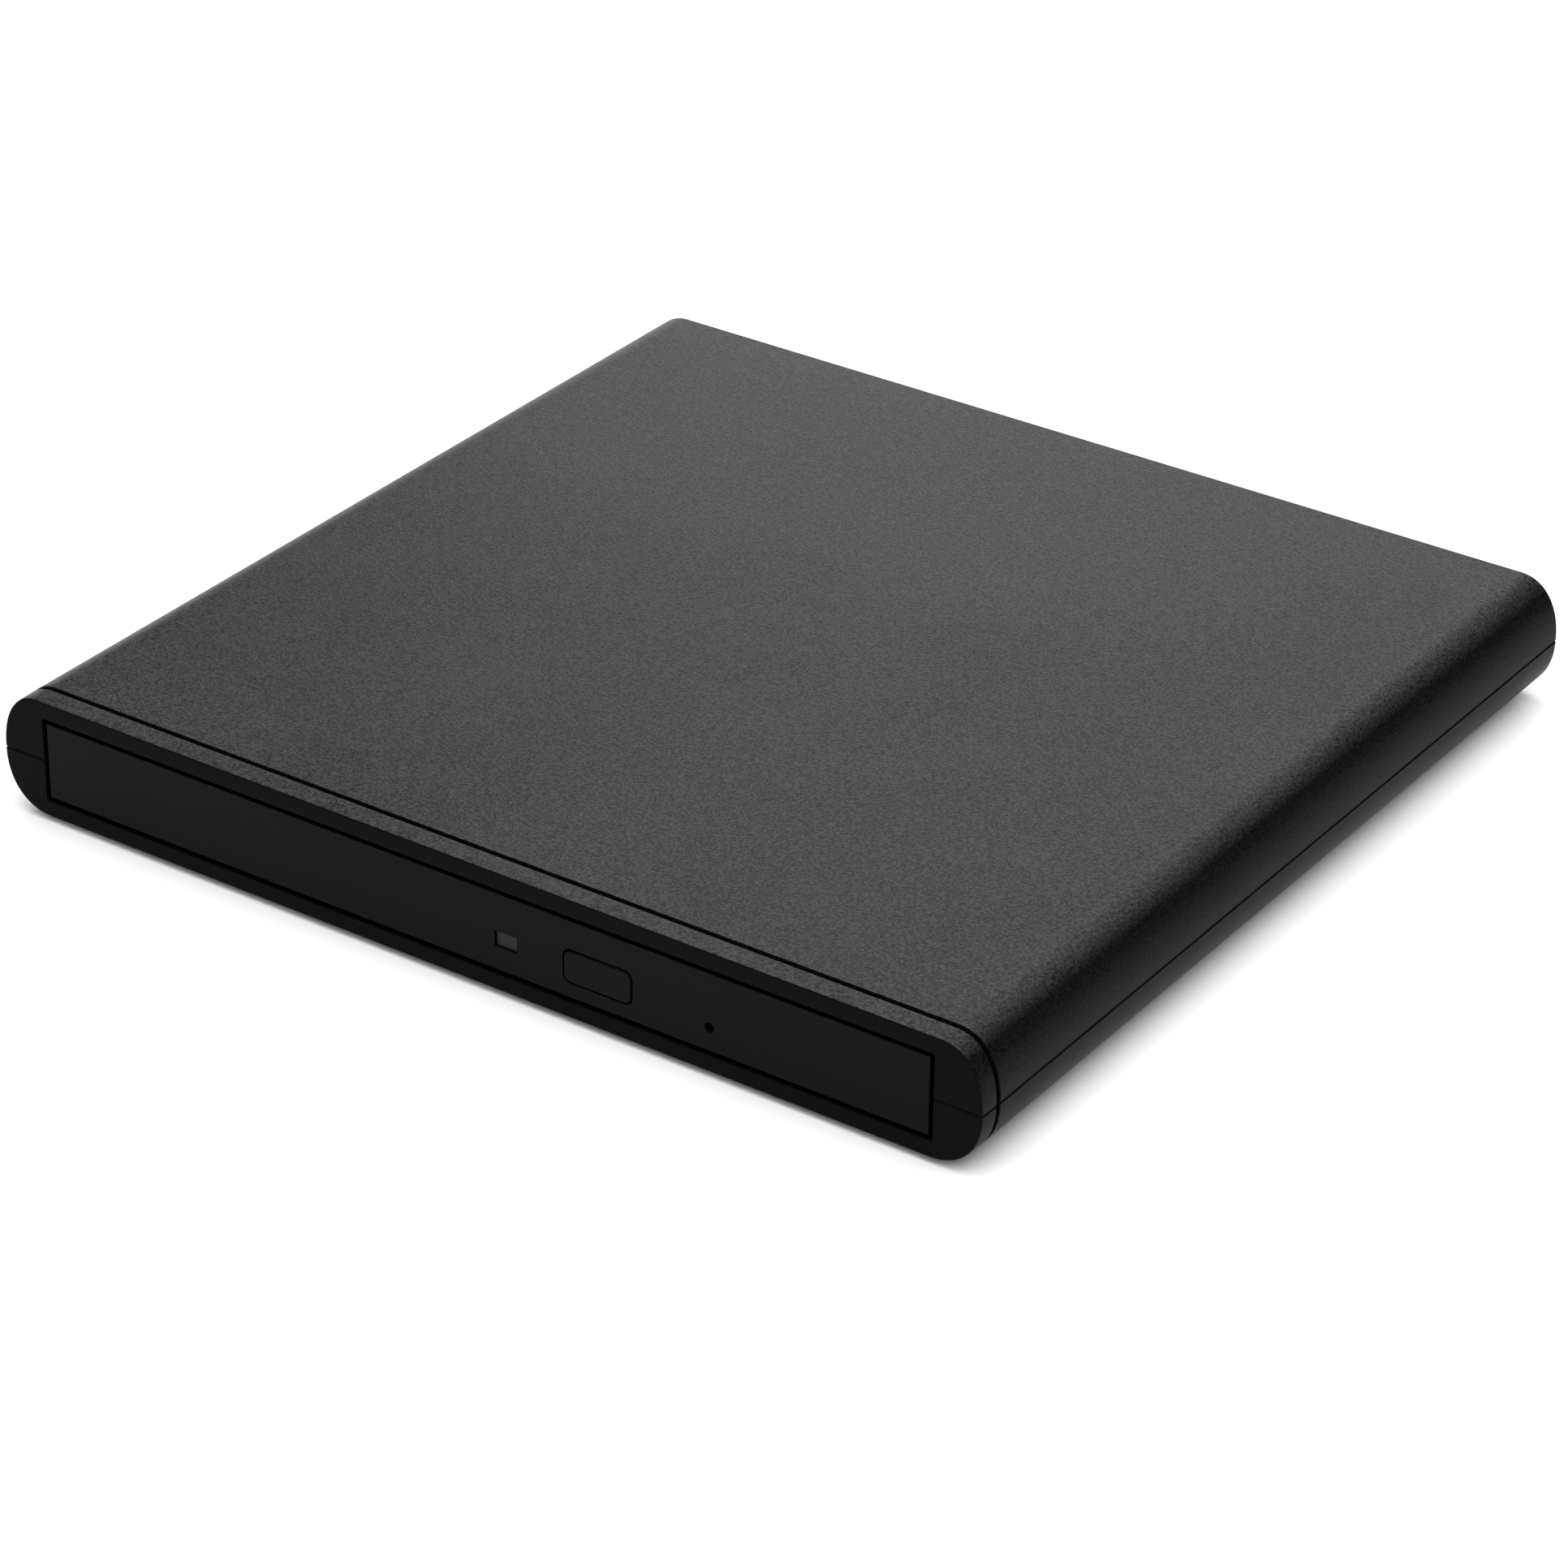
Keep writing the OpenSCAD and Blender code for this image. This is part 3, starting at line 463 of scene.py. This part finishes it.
def soften(node, width, segments, sharp_degrees=SHARP_DEGREES):
    """A copy of a CAD node's solid with its edges rounded, as moulding or pressing leaves them."""
    source = frame["nodes"][node]
    bm = bmesh.new()
    bm.from_mesh(source.data)
    bmesh.ops.remove_doubles(bm, verts=bm.verts, dist=WELD)
    bmesh.ops.dissolve_degenerate(bm, edges=bm.edges, dist=WELD)
    bmesh.ops.dissolve_limit(bm, angle_limit=math.radians(COPLANAR_DEGREES), verts=bm.verts, edges=bm.edges)
    obj = new_object(node + "_finished", bm, [MATERIALS[SLOT_OF[node]]])
    for polygon in obj.data.polygons:
        polygon.material_index = 0
    bevel = obj.modifiers.new("rounded_edges", "BEVEL")
    bevel.width = width
    bevel.segments = segments
    bevel.limit_method = "ANGLE"
    bevel.angle_limit = math.radians(sharp_degrees)
    bevel.miter_outer = "MITER_ARC"
    bevel.use_clamp_overlap = True
    finish_mesh(obj, sharp_degrees)
    take_over(obj, node)


# ---------- shells ----------

def half_outline(upper, inset, soft):
    """Half section of the case from its right parting edge over the flat to its left one, in XZ."""
    edge = (UPPER_EDGE if upper else LOWER_EDGE) - inset / 2
    rise = (TOP_Z - PARTING_Z if upper else PARTING_Z - BOTTOM_Z) - inset
    sign = 1 if upper else -1
    flat_x = CASE_X - inset - edge
    start = PARTING_Z + sign * PARTING_GAP
    right = [(CASE_X - inset - soft, start), (CASE_X - inset, start + sign * max(soft, FIRST_RISE))]
    for step in range(1, ARC_STEPS + 1):
        angle = math.radians(90 * (step + ARC_LEAD) / (ARC_STEPS + ARC_LEAD))
        x = flat_x + edge * max(0.0, math.cos(angle)) ** (2 / EDGE_EXPONENT)
        right.append((x, PARTING_Z + sign * rise * math.sin(angle) ** (2 / EDGE_EXPONENT)))
    flat = [(flat_x * (1 - 2 * step / FLAT_STEPS), right[-1][1]) for step in range(1, FLAT_STEPS)]
    left = [(-x, z) for x, z in reversed(right)]
    return right + flat + left


def opening_outline(upper, grow):
    """Half of the front opening's outline, point for point with half_outline."""
    half_x = BEZEL_HI.x + OPENING_GAP + grow
    level = BEZEL_HI.z + OPENING_GAP + grow if upper else BEZEL_LO.z - OPENING_GAP - grow
    sign = 1 if upper else -1
    start = PARTING_Z + sign * PARTING_GAP
    second = start + sign * PARTING_SOFT
    right = [(half_x + PARTING_SOFT, start), (half_x, second)]
    radius = OPENING_CORNER + grow
    straight = ARC_STEPS - CORNER_STEPS
    foot = level - sign * radius
    for step in range(1, straight + 1):
        right.append((half_x, second + (foot - second) * step / straight))
    for step in range(1, CORNER_STEPS + 1):
        angle = math.radians(90 * step / CORNER_STEPS)
        right.append((half_x - radius * (1 - math.cos(angle)), foot + sign * radius * math.sin(angle)))
    end_x = right[-1][0]
    flat = [(end_x * (1 - 2 * step / FLAT_STEPS), level) for step in range(1, FLAT_STEPS)]
    left = [(-x, z) for x, z in reversed(right)]
    return right + flat + left


def station(outline, y, on_face):
    """An outline at one depth; on the front face its two ends at the parting plane are chamfered back."""
    last = len(outline) - 1
    chamfer = PARTING_SOFT if on_face else 0.0
    return [(x, y + chamfer if index in (0, last) else y, z) for index, (x, z) in enumerate(outline)]


def shell_stations(upper):
    """Loops from the opening's inner end, over the front edge and the groove, to the back face."""
    def outer(y, inset):
        return station(half_outline(upper, inset, PARTING_SOFT), y, y == FRONT_Y)

    def opening(y, grow):
        return station(opening_outline(upper, grow), y, y == FRONT_Y)

    loops = [opening(FRONT_Y + depth, grow) for depth, grow in OPENING_LIP]
    loops += [outer(FRONT_Y + depth, inset) for depth, inset in RING_EDGE]

    ring_end = GROOVE_Y - GROOVE_HALF
    body_start = GROOVE_Y + GROOVE_HALF
    edge_middle = GROOVE_EDGE_MIDDLE * GROOVE_EDGE
    loops += [
        outer(ring_end - GROOVE_EDGE, 0.0), outer(ring_end - edge_middle, edge_middle),
        outer(ring_end, GROOVE_EDGE), outer(ring_end, GROOVE_DEPTH),
        outer(body_start, GROOVE_DEPTH), outer(body_start, GROOVE_EDGE),
        outer(body_start + edge_middle, edge_middle), outer(body_start + GROOVE_EDGE, 0.0),
    ]
    first = body_start + GROOVE_EDGE
    last = BACK_Y - BACK_ROUND
    for step in range(1, BODY_STATIONS + 1):
        loops.append(outer(first + (last - first) * step / BODY_STATIONS, 0.0))
    for degrees in (30, 60, 90):
        angle = math.radians(degrees)
        loops.append(outer(last + BACK_ROUND * math.sin(angle), BACK_ROUND * (1 - math.cos(angle))))
    return loops


def shell(name, upper, textured):
    """One half of the case: a closed, hollow moulding with its half of the front opening."""
    bm = bmesh.new()
    loops = [[bm.verts.new(point) for point in points] for points in shell_stations(upper)]
    inner = []
    for y in (FRONT_Y + FRONT_WALL, BACK_Y - WALL):
        inner.append([bm.verts.new((x, y, z)) for x, z in half_outline(upper, WALL, 0.0)])

    def strip(a, b, material):
        for i in range(len(a) - 1):
            bm.faces.new((a[i], a[i + 1], b[i + 1], b[i])).material_index = material

    last_face_strip = len(OPENING_LIP)
    for k in range(len(loops) - 1):
        strip(loops[k], loops[k + 1], FACE if k <= last_face_strip else OUTSIDE)
    strip(inner[0], inner[1], INSIDE)
    strip(loops[0], inner[0], INSIDE)
    bm.faces.new(loops[-1]).material_index = OUTSIDE
    bm.faces.new(inner[1]).material_index = INSIDE
    right = [row[0] for row in loops]
    left = [row[-1] for row in reversed(loops)]
    rim = bm.faces.new(right + left + [inner[0][-1], inner[1][-1], inner[1][0], inner[0][0]])
    rim.material_index = INSIDE
    bmesh.ops.recalc_face_normals(bm, faces=bm.faces)
    return new_object(name, bm, [textured, CASE_FACE, CASE_INSIDE])


def add_socket_cutter(bm):
    """The USB socket's opening through the back wall, widened by a chamfer at the outer face."""
    low_x, low_z = USB_LO.x - USB_SIDE_GAP, USB_LO.z - USB_LOWER_GAP
    high_x, high_z = USB_HI.x + USB_SIDE_GAP, PARTING_Z + MM
    rows = []
    for y, grow in ((BACK_Y - WALL - MM, 0.0), (BACK_Y - USB_CHAMFER, 0.0),
                    (BACK_Y + USB_CHAMFER, 2 * USB_CHAMFER), (BACK_Y + MM, 2 * USB_CHAMFER)):
        corners = ((low_x - grow, low_z - grow), (high_x + grow, low_z - grow),
                   (high_x + grow, high_z + grow), (low_x - grow, high_z + grow))
        rows.append([bm.verts.new((x, y, z)) for x, z in corners])
    for a, b in zip(rows, rows[1:]):
        for i in range(4):
            bm.faces.new((a[i], a[(i + 1) % 4], b[(i + 1) % 4], b[i]))
    bm.faces.new(rows[0])
    bm.faces.new(rows[-1])


def add_seat_cutters(bm):
    """A round seat under the lower shell for each rubber foot."""
    feet_lo, feet_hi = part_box("rubber_feet")
    radius = FOOT_RADIUS + SEAT_GAP
    for x in (feet_lo.x + FOOT_RADIUS, feet_hi.x - FOOT_RADIUS):
        for y in (feet_lo.y + FOOT_RADIUS, feet_hi.y - FOOT_RADIUS):
            middle = Matrix.Translation((x, y, feet_hi.z - SEAT_CUT_HEIGHT / 2))
            bmesh.ops.create_cone(bm, cap_ends=True, segments=SEAT_SEGMENTS, radius1=radius, radius2=radius,
                                  depth=SEAT_CUT_HEIGHT, matrix=middle)


def cut(obj, cutter):
    """Takes the cutter out of obj and removes it."""
    tool = obj.modifiers.new("cut", "BOOLEAN")
    tool.operation = "DIFFERENCE"
    tool.solver = "EXACT"
    tool.object = cutter
    bpy.context.view_layer.update()
    evaluated = obj.evaluated_get(bpy.context.evaluated_depsgraph_get())
    mesh = bpy.data.meshes.new_from_object(evaluated)
    obj.modifiers.clear()
    obj.data = mesh
    bpy.data.objects.remove(cutter)


def build_shells():
    top = shell("case_top", True, TEXTURED_TOP)
    finish_mesh(top)
    take_over(top, "upper_shell")
    low = shell("case_bottom", False, SHADED_TEXTURED_LOW)
    bm = bmesh.new()
    add_socket_cutter(bm)
    add_seat_cutters(bm)
    bmesh.ops.recalc_face_normals(bm, faces=bm.faces)
    cut(low, new_object("cutter", bm, [CASE_INSIDE]))
    finish_mesh(low)
    take_over(low, "lower_shell")


# ---------- pieces that are copies of CAD solids with worked edges ----------

# Each node's width of the rounded edges, the steps across them, and, where it isn't the usual one, the least
# angle in degrees of an edge that is rounded.
SOFTENED = {
    "tray_bezel": (0.16 * MM, 3), "eject_button": (0.14 * MM, 3), "led_lens": (0.12 * MM, 2),
    "rubber_feet": (0.25 * MM, 3, 50.0), "tray": (0.22 * MM, 2), "traverse_frame": (0.15 * MM, 2),
    "traverse_cover": (0.06 * MM, 2), "turntable": (0.1 * MM, 2), "turntable_ring": (0.08 * MM, 2),
    "pickup_sled": (0.2 * MM, 2), "pickup_lens": (0.03 * MM, 1), "lens_holder": (0.15 * MM, 2),
    "rail_left": (0.08 * MM, 2), "rail_right": (0.08 * MM, 2), "usb_socket_shell": (0.12 * MM, 2),
    "usb_socket_insert": (0.12 * MM, 2),
    "drive_base_pan": (0.12 * MM, 2), "drive_top_cover": (0.12 * MM, 2), "hub_claw_1": (0.12 * MM, 2),
    "hub_claw_2": (0.12 * MM, 2), "hub_claw_3": (0.12 * MM, 2), "spindle_rotor": (0.15 * MM, 2),
    "tray_underside_cover": (0.06 * MM, 2), "lead_screw": (0.1 * MM, 2), "latch_lever": (0.15 * MM, 2),
    "case_screws": (0.08 * MM, 2), "rail_guide_left": (0.1 * MM, 2), "rail_guide_right": (0.1 * MM, 2),
}


def build_softened():
    for node, settings in SOFTENED.items():
        soften(node, *settings)


def dress_plain_nodes():
    """CAD nodes whose shape is right keep their mesh and take a detailed material."""
    for node, obj in frame["nodes"].items():
        if node in SOFTENED or node in ("upper_shell", "lower_shell"):
            continue
        for slot in obj.material_slots:
            slot.material = MATERIALS[SLOT_OF[node]]


# ---------- stage, light and camera ----------

FLOOR_REACH = 6.0
WORLD_TINT = (0.97, 0.985, 1.0, 1.0)
WORLD_STRENGTH = 0.03
CENTRE = (0, 0, 0)

# Each light's name, place and target in metres, width and height in metres, and power in watts.
LIGHTS = (
    ("overhead_softbox", (0.1, -0.05, 1.3), (0.1, -0.05, 0), (2.0, 2.0), 42.0),
    ("back_softbox", (-0.47, 1.12, 0.33), CENTRE, (0.8, 0.35), 2.2),
    ("left_rim_card", (-1.0, 1.0, 0.14), CENTRE, (1.0, 0.24), 1.3),
    ("front_softbox", (0.1, -1.35, 1.05), CENTRE, (1.4, 0.6), 9.0),
    ("right_softbox", (1.35, 0.1, 1.05), CENTRE, (1.4, 0.6), 7.0),
)


def build_stage():
    bm = bmesh.new()
    bmesh.ops.create_grid(bm, x_segments=2, y_segments=2, size=FLOOR_REACH)
    floor = new_object("studio_floor", bm, [pale_backdrop("studio_floor")])


def area_light(name, place, target, size, power):
    light = bpy.data.lights.new(name, "AREA")
    light.shape = "RECTANGLE"
    light.size, light.size_y = size
    light.energy = power
    obj = bpy.data.objects.new(name, light)
    bpy.context.scene.collection.objects.link(obj)
    obj.location = place
    obj.rotation_euler = (Vector(target) - Vector(place)).to_track_quat("-Z", "Y").to_euler()


def build_lights():
    world = bpy.data.worlds.new("studio")
    bpy.context.scene.world = world
    world.use_nodes = True
    background = world.node_tree.nodes["Background"]
    background.inputs["Color"].default_value = WORLD_TINT
    background.inputs["Strength"].default_value = WORLD_STRENGTH
    for settings in LIGHTS:
        area_light(*settings)


CAMERA_AZIMUTH = 34.18       # degrees right of the front
CAMERA_ELEVATION = 29.8
CAMERA_ROLL = 0.755
CAMERA_DISTANCE = 0.6335
CAMERA_LENS = 120.46         # millimetres
CAMERA_SENSOR = 36.0         # millimetres
CAMERA_CLIP_START = 0.01
CAMERA_TARGET = Vector((0.01294, -0.02189, 0.0098))


def build_camera():
    """A camera at an angle and distance from its target, turned by its roll."""
    azimuth, elevation, roll = (math.radians(a) for a in (CAMERA_AZIMUTH, CAMERA_ELEVATION, CAMERA_ROLL))
    back = Vector((math.sin(azimuth) * math.cos(elevation), -math.cos(azimuth) * math.cos(elevation),
                   math.sin(elevation)))
    right = Vector((0, 0, 1)).cross(back).normalized()
    up = back.cross(right)
    rolled_right = right * math.cos(roll) + up * math.sin(roll)
    rolled_up = up * math.cos(roll) - right * math.sin(roll)
    camera_data = bpy.data.cameras.new("camera")
    camera_data.sensor_width = CAMERA_SENSOR
    camera_data.lens = CAMERA_LENS
    camera_data.clip_start = CAMERA_CLIP_START
    camera = bpy.data.objects.new("camera", camera_data)
    bpy.context.scene.collection.objects.link(camera)
    turn = Matrix((rolled_right, rolled_up, back)).transposed().to_4x4()
    camera.matrix_world = Matrix.Translation(CAMERA_TARGET + back * CAMERA_DISTANCE) @ turn
    bpy.context.scene.camera = camera


bpy.context.scene.view_settings.view_transform = "Standard"     # keeps the overexposed floor white
build_camera()
build_stage()
build_lights()
build_shells()
build_softened()
dress_plain_nodes()
